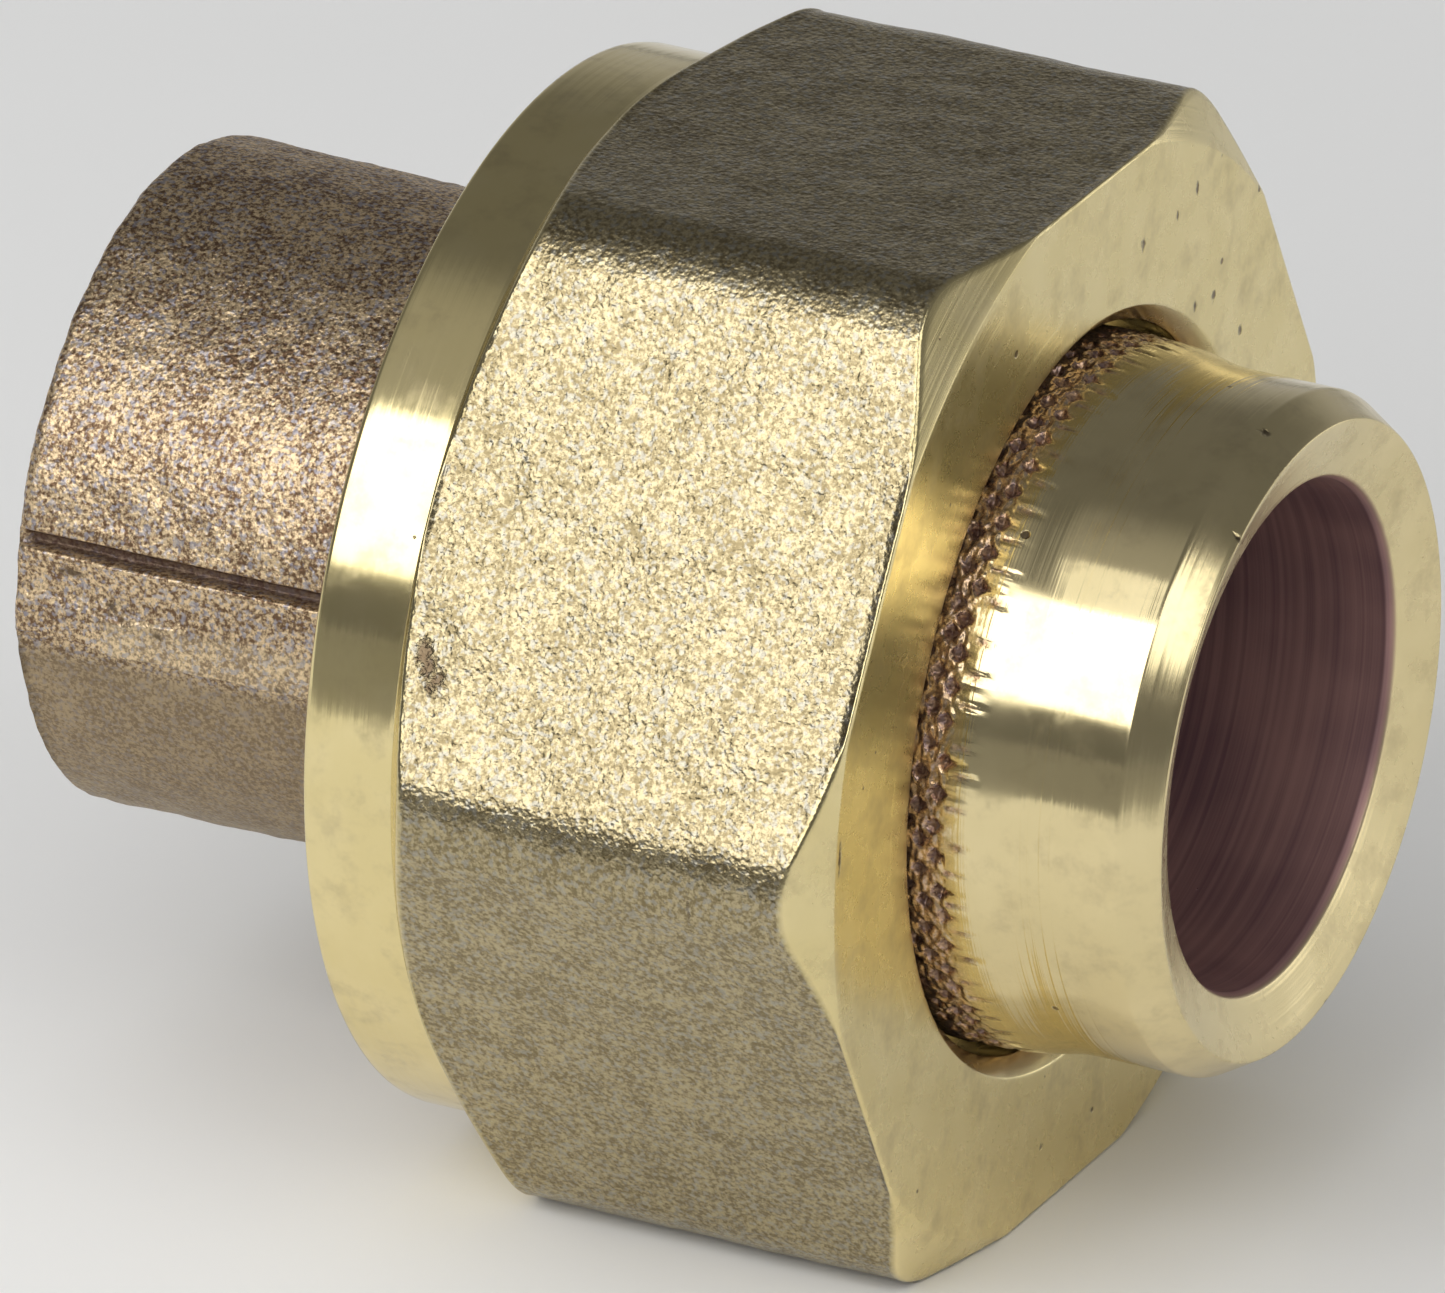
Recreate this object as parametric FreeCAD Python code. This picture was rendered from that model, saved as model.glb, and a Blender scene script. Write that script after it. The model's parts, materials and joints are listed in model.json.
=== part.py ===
"""Straight pipe union with two 15 mm solder sockets and a G 3/4 union nut.

The two halves meet face to face on a flat gasket. The nut carries the female thread,
hooks behind the collar of the tailpiece and draws it onto the body.

Frame, in millimetres: origin on the tube axis at half the length, +X along the axis
towards the open end of the tailpiece, +Z up. Two flats of the nut face up and down.
Every outline below is a list of (x, radius) points turned about the X axis.
"""
import FreeCAD
import Part
import math
import os

Vector = FreeCAD.Vector

# The tube and its sockets
TUBE_R = 7.5                # copper tube, outside radius
SOLDER_GAP = 0.05           # radial gap that draws the solder in
SOCKET_DEPTH = 11.0         # how far the tube goes in, to its stop
WATERWAY_R = 6.7            # bore behind the tube stop
SOCKET_R = TUBE_R + SOLDER_GAP

# The whole union
LENGTH = 36.6
END_X = LENGTH / 2

# Pipe thread G 3/4, 14 threads per inch, 55 degree form
INCH = 25.4
PITCH = INCH / 14
THREAD_MAJOR_R = 26.441 / 2
THREAD_DEPTH = 0.640327 * PITCH
HALF_ANGLE = math.radians(27.5)
THREAD_EASE = 0.10          # each member is thinned by this, all round
SWEEP_OVER = 0.1            # the swept ridge stands past both its faces by this, then is cut

# Union nut
ACROSS_FLATS = 31.6         # forged for a 32 mm spanner
CORNER_R = 2.9              # rounding of the six long corners
NUT_REAR_X = -5.95
NUT_FRONT_X = 11.2
BAND_W = 2.85               # turned round band at the thread end
BAND_R = 15.75
BAND_CHAMFER = 0.2
FACE_R = 16.15              # where the front chamfer leaves the turned face
CHAMFER_ANGLE = math.radians(30.0)
THROAT_R = 10.85            # hole that the tailpiece passes through
COUNTERSINK = 0.55
SHOULDER_X = 8.2            # inner shoulder that bears on the tailpiece's collar
NUT_RELIEF_W = 2.0          # thread run-out groove inside the nut

# Body, the half with the male thread
SEAT_X = 3.7                # flat sealing face of the body
THREAD_LENGTH = 9.0
CASTING_R = 10.15           # rough outside of the socket
CASTING_RISE = 0.55         # the casting sits this much high of the bore
CASTING_EDGE_R = 1.0        # rounded outer rim
NECK_R = 9.4                # turned neck between casting and thread
NECK_W = 1.0

# Gasket
GASKET_T = 1.5
GASKET_OUT_R = 11.8
GASKET_IN_R = 7.5

# Tailpiece
COLLAR_R = 11.85
COLLAR_GAP = 0.05           # end play between collar and nut shoulder
COLLAR_W = SHOULDER_X - COLLAR_GAP - SEAT_X - GASKET_T
NECK_OUT_R = 10.5           # plain neck and knurl, inside the nut's throat
KNURL_END_X = NUT_FRONT_X + 2.2
SHANK_R = 10.135
END_CHAMFER_W = 1.15
RIDGE_R = 9.45              # sharp ridge between outer chamfer and dished end
DISH_DEPTH = 0.65

EDGE = 0.3                  # small turned edge break


def turned(outline):
    """Solid turned about the X axis from a closed outline of (x, radius) points."""
    points = [Vector(x, 0, radius) for x, radius in outline]
    face = Part.Face(Part.makePolygon(points + points[:1]))
    return face.revolve(Vector(0, 0, 0), Vector(1, 0, 0), 360)


def rod(start_x, end_x, radius):
    """Plain cylinder along the X axis."""
    return Part.makeCylinder(radius, end_x - start_x, Vector(start_x, 0, 0), Vector(1, 0, 0))


def thread_ridge(start_x, turns, root_r, crest_r, root_w, crest_w):
    """One right-handed helical ridge about X, of trapezoid section root_w to crest_w wide."""
    helix = Part.makeLongHelix(PITCH, PITCH * turns, crest_r)
    section = Part.makePolygon([
        Vector(root_r, 0, -root_w / 2),
        Vector(crest_r, 0, -crest_w / 2),
        Vector(crest_r, 0, crest_w / 2),
        Vector(root_r, 0, root_w / 2),
        Vector(root_r, 0, -root_w / 2)])
    ridge = Part.Wire(helix.Edges).makePipeShell([section], True, True)
    ridge.rotate(Vector(0, 0, 0), Vector(0, 1, 0), 90)
    ridge.translate(Vector(start_x, 0, 0))
    return ridge


def width_at(radius, ease):
    """Width of the 55 degree thread form at a radius; ease thins the metal on both flanks."""
    pitch_r = THREAD_MAJOR_R - THREAD_DEPTH / 2
    return PITCH / 2 - 2 * (radius - pitch_r) * math.tan(HALF_ANGLE) - 2 * ease


def male_thread():
    """The body's ridges, cut to a 45 degree lead at both ends of the threaded length."""
    root_r = THREAD_MAJOR_R - THREAD_DEPTH - THREAD_EASE
    crest_r = THREAD_MAJOR_R - THREAD_EASE
    start_x = SEAT_X - THREAD_LENGTH
    lead = crest_r - root_r
    base_r = root_r - SWEEP_OVER
    swept_r = crest_r + SWEEP_OVER
    turns = math.ceil(THREAD_LENGTH / PITCH) + 2
    ridge = thread_ridge(start_x - PITCH, turns, base_r, swept_r,
                         width_at(base_r, THREAD_EASE), width_at(swept_r, THREAD_EASE))
    envelope = turned([
        (start_x, NECK_R),
        (start_x, root_r),
        (start_x + lead, crest_r),
        (SEAT_X - lead, crest_r),
        (SEAT_X, root_r),
        (SEAT_X, NECK_R)])
    core = turned([
        (start_x, NECK_R), (start_x, root_r), (SEAT_X, root_r), (SEAT_X, NECK_R)])
    return core.fuse(ridge.common(envelope))


def female_groove():
    """The nut's thread space, from outside its rear face to the run-out groove."""
    crest_r = THREAD_MAJOR_R - THREAD_DEPTH + THREAD_EASE
    root_r = THREAD_MAJOR_R + THREAD_EASE
    start_x = SEAT_X - THREAD_LENGTH - 2 * PITCH
    inner_r = crest_r - SWEEP_OVER
    turns = math.ceil((relief_start() - start_x) / PITCH)
    return thread_ridge(start_x, turns, inner_r, root_r,
                        width_at(inner_r, -THREAD_EASE), width_at(root_r, -THREAD_EASE))


def relief_start():
    """X where the nut's thread runs out into its relief groove."""
    return SEAT_X + EDGE


def body():
    """Cast socket half: solder socket, tube stop, waterway, neck and male thread."""
    thread_x = SEAT_X - THREAD_LENGTH
    casting_end = thread_x - NECK_W
    casting = Part.makeCylinder(CASTING_R, casting_end + END_X,
                                Vector(-END_X, 0, CASTING_RISE), Vector(1, 0, 0))
    rim = [edge for edge in casting.Edges
           if isinstance(edge.Curve, Part.Circle) and edge.Curve.Center.x < -END_X + EDGE]
    casting = casting.makeFillet(CASTING_EDGE_R, rim)
    neck = rod(casting_end - EDGE, SEAT_X, NECK_R + EDGE / 10)
    solid = casting.fuse([neck, male_thread()])
    solid = solid.cut(rod(-END_X - 1, -END_X + SOCKET_DEPTH, SOCKET_R))
    return solid.cut(rod(-END_X, SEAT_X + 1, WATERWAY_R)).removeSplitter()


def hexagon(start_x, end_x):
    """Six-sided bar with rounded corners, flats up and down."""
    corner_r = ACROSS_FLATS / math.sqrt(3)
    points = []
    for corner in range(6):
        angle = math.radians(60 * corner)
        points.append(Vector(start_x, corner_r * math.cos(angle), corner_r * math.sin(angle)))
    bar = Part.Face(Part.makePolygon(points + points[:1])).extrude(Vector(end_x - start_x, 0, 0))
    long_edges = [edge for edge in bar.Edges if edge.BoundBox.XLength > (end_x - start_x) / 2]
    return bar.makeFillet(CORNER_R, long_edges)


def nut_envelope():
    """Round outline that cuts the band and both 30 degree chamfers from the hexagon."""
    band_end = NUT_REAR_X + BAND_W
    tip_r = ACROSS_FLATS / math.sqrt(3)
    slope = math.tan(CHAMFER_ANGLE)
    rear_run = (tip_r - BAND_R) * slope
    front_run = (tip_r - FACE_R) * slope
    return turned([
        (NUT_REAR_X, 0),
        (NUT_REAR_X, BAND_R - BAND_CHAMFER),
        (NUT_REAR_X + BAND_CHAMFER, BAND_R),
        (band_end, BAND_R),
        (band_end + rear_run, tip_r),
        (NUT_FRONT_X - front_run, tip_r),
        (NUT_FRONT_X, FACE_R),
        (NUT_FRONT_X, 0)])


def union_nut():
    """Hexagon nut with a round band, female thread, inner shoulder and countersunk throat."""
    band = rod(NUT_REAR_X, NUT_REAR_X + BAND_W + EDGE, BAND_R)
    blank = hexagon(NUT_REAR_X + BAND_W, NUT_FRONT_X).fuse(band).common(nut_envelope())
    crest_r = THREAD_MAJOR_R - THREAD_DEPTH + THREAD_EASE
    relief_r = THREAD_MAJOR_R + THREAD_EASE + SWEEP_OVER
    lead = relief_r - crest_r
    bore = turned([
        (NUT_REAR_X - 1, 0),
        (NUT_REAR_X - 1, relief_r),
        (NUT_REAR_X, relief_r),
        (NUT_REAR_X + lead, crest_r),
        (relief_start(), crest_r),
        (relief_start() + lead, relief_r),
        (relief_start() + NUT_RELIEF_W, relief_r),
        (relief_start() + NUT_RELIEF_W + lead, crest_r),
        (SHOULDER_X, crest_r),
        (SHOULDER_X, THROAT_R),
        (NUT_FRONT_X - COUNTERSINK, THROAT_R),
        (NUT_FRONT_X, THROAT_R + COUNTERSINK),
        (NUT_FRONT_X + 1, THROAT_R + COUNTERSINK),
        (NUT_FRONT_X + 1, 0)])
    return blank.cut(bore).cut(female_groove()).removeSplitter()


def gasket():
    """Flat sealing ring between the body's seat and the tailpiece's collar."""
    end_x = SEAT_X + GASKET_T
    return rod(SEAT_X, end_x, GASKET_OUT_R).cut(rod(SEAT_X, end_x, GASKET_IN_R))


def tailpiece():
    """Turned half: collar behind the nut's shoulder, knurled neck, shank and solder socket."""
    seat_x = SEAT_X + GASKET_T
    collar_end = seat_x + COLLAR_W
    chamfer_x = END_X - END_CHAMFER_W
    blank = turned([
        (seat_x, 0),
        (seat_x, COLLAR_R - EDGE),
        (seat_x + EDGE, COLLAR_R),
        (collar_end - EDGE, COLLAR_R),
        (collar_end, COLLAR_R - EDGE),
        (collar_end, NECK_OUT_R),
        (KNURL_END_X, NECK_OUT_R),
        (KNURL_END_X + EDGE, SHANK_R),
        (chamfer_x, SHANK_R),
        (END_X, RIDGE_R),
        (END_X - DISH_DEPTH, SOCKET_R),
        (END_X - DISH_DEPTH, 0)])
    blank = blank.cut(rod(END_X - SOCKET_DEPTH, END_X + 1, SOCKET_R))
    return blank.cut(rod(seat_x - 1, END_X, WATERWAY_R)).removeSplitter()


def write(name, shape):
    """Check that a piece is one sound solid and save it under its name."""
    if not shape.isValid() or len(shape.Solids) != 1:
        raise RuntimeError(name + " is not one valid solid")
    solid = shape.Solids[0]
    solid.exportStep("parts/" + name + ".step")
    box = solid.optimalBoundingBox(True, False)
    print("%-10s volume %8.1f mm3  x %7.2f..%6.2f  y %7.2f..%6.2f  z %7.2f..%6.2f" % (
        name, solid.Volume, box.XMin, box.XMax, box.YMin, box.YMax, box.ZMin, box.ZMax))


os.makedirs("parts", exist_ok=True)
write("body", body())
write("gasket", gasket())
write("tailpiece", tailpiece())
write("union_nut", union_nut())
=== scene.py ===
# %% [markdown]
# # A pipe union in cast gunmetal and forged brass
# Four real pieces make a pipe union: a sand-cast body with a male thread, a forged hexagon
# nut, a turned tailpiece that the nut pulls onto the body, and a flat gasket between the two.
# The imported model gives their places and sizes. This lesson gives each of them the skin that
# casting, forging and turning leave on the metal.

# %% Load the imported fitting
import json
import math

import bpy
import numpy as np
from mathutils import Matrix, Vector, noise


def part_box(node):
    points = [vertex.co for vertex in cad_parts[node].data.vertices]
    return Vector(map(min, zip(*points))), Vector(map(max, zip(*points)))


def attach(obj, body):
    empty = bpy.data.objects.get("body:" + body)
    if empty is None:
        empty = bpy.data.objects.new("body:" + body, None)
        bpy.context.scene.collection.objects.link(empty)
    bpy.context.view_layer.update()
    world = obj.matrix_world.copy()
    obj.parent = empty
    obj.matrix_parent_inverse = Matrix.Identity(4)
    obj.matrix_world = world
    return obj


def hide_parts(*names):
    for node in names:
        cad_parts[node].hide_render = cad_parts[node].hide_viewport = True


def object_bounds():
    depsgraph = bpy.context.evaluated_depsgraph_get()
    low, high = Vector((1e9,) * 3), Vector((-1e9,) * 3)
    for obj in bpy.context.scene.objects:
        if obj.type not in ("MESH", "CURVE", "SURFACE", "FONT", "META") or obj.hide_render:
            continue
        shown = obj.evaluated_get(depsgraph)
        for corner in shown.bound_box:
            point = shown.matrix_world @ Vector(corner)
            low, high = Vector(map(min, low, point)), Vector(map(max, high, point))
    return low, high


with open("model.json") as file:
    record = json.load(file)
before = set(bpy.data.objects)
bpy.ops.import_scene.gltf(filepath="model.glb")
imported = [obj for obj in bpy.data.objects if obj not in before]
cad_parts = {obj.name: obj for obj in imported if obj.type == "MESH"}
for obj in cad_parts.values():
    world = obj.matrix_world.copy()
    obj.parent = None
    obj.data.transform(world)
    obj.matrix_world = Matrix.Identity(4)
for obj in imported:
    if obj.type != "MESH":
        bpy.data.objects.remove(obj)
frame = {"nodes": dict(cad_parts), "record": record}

cad_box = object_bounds()
MM = 0.001
print("nodes", sorted(frame["nodes"]))

# %% [markdown]
# ## Sizes
# Everything is turned about the X axis, so each piece needs only distances along X and radii.
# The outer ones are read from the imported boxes. The rest repeat the design, in millimetres.

# %% Read the main sizes
def box_mm(node):
    """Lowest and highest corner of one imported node, in millimetres."""
    low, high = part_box(node)
    return np.array(low) / MM, np.array(high) / MM


body_low, body_high = box_mm("body")
nut_low, nut_high = box_mm("union_nut")
tail_low, tail_high = box_mm("tailpiece")
gasket_low, gasket_high = box_mm("gasket")
mounts = {mount["name"]: mount for mount in frame["record"]["mounts"]}
socket_r = mounts["tail_socket"]["dims"]["r_mm"]
half_flats = nut_high[2]
seat_x = body_high[0]
print("across flats", round(2 * half_flats, 2), "socket radius", socket_r, "seat at", round(seat_x, 2))

# %% [markdown]
# ## One loop of outline, swept round
# A turned or forged ring has one closed outline of corners. Sweeping it round the axis gives a
# mesh of quads only, closed by itself, with a row of vertices exactly along every edge. A
# screw or subdivision modifier could do a plain ring, but here some corners move in and
# out with the angle, as on the hexagon, so the rows are worked out for all angles at once.

# %% Outline tools
class Corner:
    """A corner of an outline, and how the run from it to the next corner is made."""

    def __init__(self, x, r, ease=0.0, rows=1, skin=0.0, shape=None):
        self.x, self.r = x, r
        self.ease = ease      # rounding of this corner
        self.rows = rows      # quads along the run that follows
        self.skin = skin      # 0 turned metal, 1 rough as-cast or as-forged metal
        self.shape = shape    # optional change of radius along that run


ARC_STEPS = 3


def rounded_rows(corners, angles):
    """Rows of x, r and skin along the outline, each row with one value per angle."""
    count = len(angles)
    spots = np.stack([
        np.stack([np.broadcast_to(c.x, count), np.broadcast_to(c.r, count)], axis=-1)
        for c in corners]).astype(float)
    back = np.roll(spots, 1, axis=0) - spots
    ahead = np.roll(spots, -1, axis=0) - spots
    back_len = np.linalg.norm(back, axis=-1, keepdims=True) + 1e-9
    ahead_len = np.linalg.norm(ahead, axis=-1, keepdims=True) + 1e-9
    reach = np.stack([np.broadcast_to(c.ease, count) for c in corners])[..., None]
    reach = np.minimum(reach, 0.4 * np.minimum(back_len, ahead_len))
    start = spots + back / back_len * reach
    end = spots + ahead / ahead_len * reach
    xs, rs, skins = [], [], []
    for i, c in enumerate(corners):
        before = corners[i - 1]
        steps = ARC_STEPS if np.any(c.ease) else 0
        for u in (np.arange(steps + 1) / steps if steps else [0.0]):
            p = (1 - u) ** 2 * start[i] + 2 * u * (1 - u) * spots[i] + u * u * end[i]
            keep = c if u > 0.5 else before
            xs.append(p[:, 0])
            rs.append(keep.shape(p[:, 0], p[:, 1], angles) if keep.shape else p[:, 1])
            skins.append((1 - u) * before.skin + u * c.skin)
        following = start[(i + 1) % len(corners)]
        for u in np.arange(1, c.rows) / c.rows:
            p = (1 - u) * end[i] + u * following
            xs.append(p[:, 0])
            rs.append(c.shape(p[:, 0], p[:, 1], angles) if c.shape else p[:, 1])
            skins.append(c.skin)
    return np.array(xs), np.array(rs), np.array(skins)


def grid_normals(points):
    """Unit normals of a grid that closes both ways."""
    along = np.roll(points, -1, axis=0) - np.roll(points, 1, axis=0)
    round_ = np.roll(points, -1, axis=1) - np.roll(points, 1, axis=1)
    normal = np.cross(round_, along)
    return normal / (np.linalg.norm(normal, axis=-1, keepdims=True) + 1e-12)


def lumps(points, size, seed):
    """Smooth noise of about the given size in millimetres, one value per point."""
    flat = points.reshape(-1, 3) / size + seed * 17.3
    values = [noise.noise(Vector(p)) for p in flat.tolist()]
    return np.array(values).reshape(points.shape[:-1])


def swept_piece(name, corners, angles, relief=None):
    """Mesh object from an outline; relief(points, skin, angles) lifts it along its normals."""
    x, r, skin = rounded_rows(corners, angles)
    points = np.stack([x, r * np.cos(angles), r * np.sin(angles)], axis=-1)
    skin = np.repeat(skin[:, None], len(angles), axis=1)
    normals = grid_normals(points)
    inside_out = ((points - points.mean(axis=(0, 1))) * normals).sum() < 0
    if inside_out:
        normals = -normals
    if relief:
        lift, skin = relief(points, skin, angles)
        points = points + normals * lift[..., None]
    rows, columns = x.shape
    index = np.arange(rows * columns).reshape(rows, columns)
    right, down = np.roll(index, -1, axis=1), np.roll(index, -1, axis=0)
    corner_ids = np.stack([index, right, np.roll(right, -1, axis=0), down], axis=-1).reshape(-1, 4)
    if inside_out:
        corner_ids = corner_ids[:, ::-1]
    mesh = bpy.data.meshes.new(name)
    mesh.from_pydata((points.reshape(-1, 3) * MM).tolist(), [], corner_ids.tolist())
    mesh.polygons.foreach_set("use_smooth", [True] * len(mesh.polygons))
    mesh.attributes.new("skin", "FLOAT", "POINT").data.foreach_set("value", skin.ravel())
    mesh.update()
    piece = bpy.data.objects.new(name, mesh)
    bpy.context.scene.collection.objects.link(piece)
    print(name, rows, "rows x", columns, "columns =", len(mesh.polygons), "quads")
    return piece


def stand_in(piece, body, node, material):
    """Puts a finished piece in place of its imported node."""
    piece.data.materials.append(material)
    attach(piece, body)
    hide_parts(node)


def around(columns):
    """Even angles round the axis, from +Y towards +Z."""
    return np.arange(columns) / columns * 2 * math.pi


# %% [markdown]
# ## Shader arithmetic
# A finish is mostly arithmetic on masks and noise. One small class wraps a socket so that the
# sums can be written as sums. Everything else is made by one method, `add`, which takes a
# node's type, its settings and its inputs.

# %% The finish helper
class Value:
    """A socket in a finish; arithmetic on it adds Math nodes."""

    def __init__(self, finish, socket):
        self.finish, self.socket = finish, socket

    def math(self, operation, *others):
        inputs = dict(enumerate((self,) + others))
        return self.finish.add("ShaderNodeMath", {"operation": operation}, inputs)

    def __add__(self, other):
        return self.math("ADD", other)

    def __radd__(self, other):
        return self.math("ADD", other)

    def __sub__(self, other):
        return self.math("SUBTRACT", other)

    def __rsub__(self, other):
        return (self * -1.0).math("ADD", other)

    def __mul__(self, other):
        return self.math("MULTIPLY", other)

    def __rmul__(self, other):
        return self.math("MULTIPLY", other)

    def between(self, low, high):
        """0 below low, 1 above high, smooth between."""
        return self.finish.add("ShaderNodeMapRange", {"interpolation_type": "SMOOTHSTEP"},
                               {"Value": self, "From Min": low, "From Max": high})


class Nodes:
    """A node tree, written as expressions."""

    def __init__(self, tree, output_kind):
        self.tree = tree
        self.tree.nodes.clear()
        self.output = self.tree.nodes.new(output_kind)

    def finish_with(self, shader):
        """Joins the last shader to the output."""
        self.tree.links.new(shader.socket, self.output.inputs["Surface"])

    def add(self, kind, settings=None, inputs=None, output=0):
        """Makes a node, sets it up, links or fills its sockets, and gives back one output."""
        node = self.tree.nodes.new(kind)
        for name, value in (settings or {}).items():
            setattr(node, name, value)
        for name, value in (inputs or {}).items():
            if isinstance(value, Value):
                self.tree.links.new(value.socket, node.inputs[name])
            else:
                node.inputs[name].default_value = value
        return Value(self, node.outputs[output])

    def parts(self, vector):
        """The x, y and z of a vector."""
        nodes = self.add("ShaderNodeSeparateXYZ", inputs={0: vector}).socket.node.outputs
        return [Value(self, nodes[i]) for i in range(3)]


class Finish(Nodes):
    """One procedural material."""

    def __init__(self, name):
        self.material = bpy.data.materials.new(name)
        self.material.use_nodes = True
        super().__init__(self.material.node_tree, "ShaderNodeOutputMaterial")

    def place(self):
        """Position on the piece in millimetres."""
        spot = self.add("ShaderNodeTexCoord", output="Object")
        return self.add("ShaderNodeVectorMath", {"operation": "SCALE"}, {0: spot, "Scale": 1 / MM})

    def axis_and_radius(self, place):
        """Distance along the tube axis, and from it."""
        x, y, z = self.parts(place)
        return x, (y * y + z * z).math("SQRT")

    def facing(self):
        """1 on faces square to the tube axis, 0 on cylinders round it."""
        normal = self.add("ShaderNodeTexCoord", output="Normal")
        return self.parts(normal)[0].math("ABSOLUTE")

    def grain(self, place, per_mm, detail=2.0, rough=0.5):
        """Noise in all directions, from 0 to 1, with a given number of lumps per millimetre."""
        return self.add("ShaderNodeTexNoise", inputs={
            "Vector": place, "Scale": per_mm, "Detail": detail, "Roughness": rough})

    def line_grain(self, along, per_mm, detail=3.0):
        """Noise that changes along one length only, as a tool's feed marks do."""
        return self.add("ShaderNodeTexNoise", {"noise_dimensions": "1D"},
                        {"W": along, "Scale": per_mm, "Detail": detail, "Roughness": 0.6})

    def blend(self, share, first, second):
        """Colour first where share is 0, second where it is 1."""
        settings = {"data_type": "RGBA", "blend_type": "MIX"}
        return self.add("ShaderNodeMix", settings, {0: share, 6: rgb(first), 7: rgb(second)}, output=2)

    def bump(self, height_mm):
        """Normal of a surface raised by a height in millimetres."""
        return self.add("ShaderNodeBump", inputs={"Height": height_mm, "Distance": MM, "Strength": 1.0})

    def metal(self, colour, roughness, normal, metallic):
        """Closes the finish with a metal shader."""
        shader = self.add("ShaderNodeBsdfPrincipled", inputs={
            "Base Color": colour, "Roughness": roughness, "Normal": normal, "Metallic": metallic})
        self.finish_with(shader)
        return self.material


def rgb(colour):
    """Colour socket value with its alpha, or a link as it is."""
    return colour if isinstance(colour, Value) else (*colour, 1.0)


# %% [markdown]
# ## Turned metal and raw metal
# A lathe leaves fine rings: along the axis on a cylinder, outward on a face. Distance along the
# axis plus distance from it grows on both, so one line of noise over that sum marks every
# turned surface at once. Sand casting and shot blasting leave grains instead, about a seventh
# of a millimetre across, which glint because each faces its own way.

# %% Lathe marks and raw grains
def turned_rings(finish, place, deep):
    """Height in millimetres of lathe marks, coarse feed and fine chatter together."""
    x, radius = finish.axis_and_radius(place)
    wobble = finish.grain(place, 0.12, 1.0) * 0.08
    along = x - radius * 0.9 + wobble
    coarse = finish.line_grain(along, 1.6, 1.0)
    fine = finish.line_grain(along, 6.0, 2.0)
    return (coarse * 0.010 + fine * 0.006) * deep


def raw_grains(finish, place, size_mm, height_mm):
    """Height of blasted or sand-cast grains: round bumps of two sizes on a broad swell."""
    cells = finish.add("ShaderNodeTexVoronoi", {"feature": "SMOOTH_F1"},
                       {"Vector": place, "Scale": 1 / size_mm, "Smoothness": 0.6}, output="Distance")
    fine = finish.grain(place, 1.1 / size_mm, 1.0)
    broad = finish.grain(place, 0.3 / size_mm, 1.0)
    return (cells * 0.7 + fine * 1.0 + broad * 1.2) * height_mm


def raw_colour(finish, place, raw, size_mm):
    """Grains of three tints: dull, bright, and slightly cool where oxide is thin."""
    patchy = (finish.grain(place, 0.8, 3.0) - 0.5) * 0.3
    speck = finish.grain(place, 0.9 / size_mm, 2.0, 0.7) + patchy
    cool = finish.grain(place, 0.7 / size_mm + 0.37, 1.0)
    warm = finish.blend(speck.between(0.36, 0.66), raw[0], raw[1])
    return finish.blend(cool.between(0.5, 0.68) * 0.6, warm, raw[2])


# %% [markdown]
# ## Wear, stains and struck marks
# New fittings lie loose in a box. They pick up dull patches and specks of dirt, and knock
# small dents into each other. The bores keep a brown film from drawing oil and heat. Each of
# these is a mask that mixes one more colour in. The struck marks are listed one by one.

# %% Wear and stains
DULLED = (0.42, 0.34, 0.20)
DULLED_SHARE = 0.35
DIRT = (0.16, 0.10, 0.06)
STAIN_DARK, STAIN_LIGHT = (0.21, 0.12, 0.13), (0.42, 0.245, 0.22)


def handled(finish, place, colour):
    """Turned metal dulled in patches by handling, with a few pinpricks of dirt."""
    patch = finish.grain(place, 0.7, 4.0, 0.65).between(0.45, 0.75)
    prick = finish.add("ShaderNodeTexVoronoi", {"feature": "F1"},
                       {"Vector": place, "Scale": 0.9, "Randomness": 1.0}, output="Distance")
    size = finish.grain(place, 0.6, 1.0).between(0.5, 0.8) * 0.16
    dirt = (size - prick).between(-0.01, 0.03)
    dulled = finish.blend(patch * DULLED_SHARE, colour, DULLED)
    return patch, dirt, finish.blend(dirt * 0.8, dulled, DIRT)


def stained_bore(finish, place, colour, bore_r):
    """Drawing oil and heat leave the bore a purple brown, in rings."""
    x, radius = finish.axis_and_radius(place)
    inside = 1 - radius.between(bore_r + 0.05, bore_r + 0.2)
    streak = finish.line_grain(x, 3.5, 3.0) * 0.5 + finish.grain(place, 0.25, 2.0) * 0.5
    stain = finish.blend(streak.between(0.3, 0.7), STAIN_DARK, STAIN_LIGHT)
    return inside, finish.blend(inside, colour, stain)


# %% Struck marks
def scar_mask(finish, place, scars):
    """1 inside small struck marks, each given by its centre and half sizes in millimetres."""
    mask = None
    for centre, half in scars:
        offset = finish.add("ShaderNodeVectorMath", {"operation": "SUBTRACT"}, {0: place, 1: centre})
        scaled = finish.add("ShaderNodeVectorMath", {"operation": "DIVIDE"}, {0: offset, 1: half})
        far = finish.add("ShaderNodeVectorMath", {"operation": "LENGTH"}, {0: scaled}, output="Value")
        ragged = far + (finish.grain(place, 5.0, 3.0) - 0.5) * 1.8
        spot = 1 - ragged.between(0.3, 1.2)
        mask = spot if mask is None else mask.math("MAXIMUM", spot)
    return mask


def on_ring(x, radius, degrees):
    """Point of the fitting from its place along the axis, radius and angle."""
    turn = math.radians(degrees)
    return (x, radius * math.cos(turn), radius * math.sin(turn))
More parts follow.
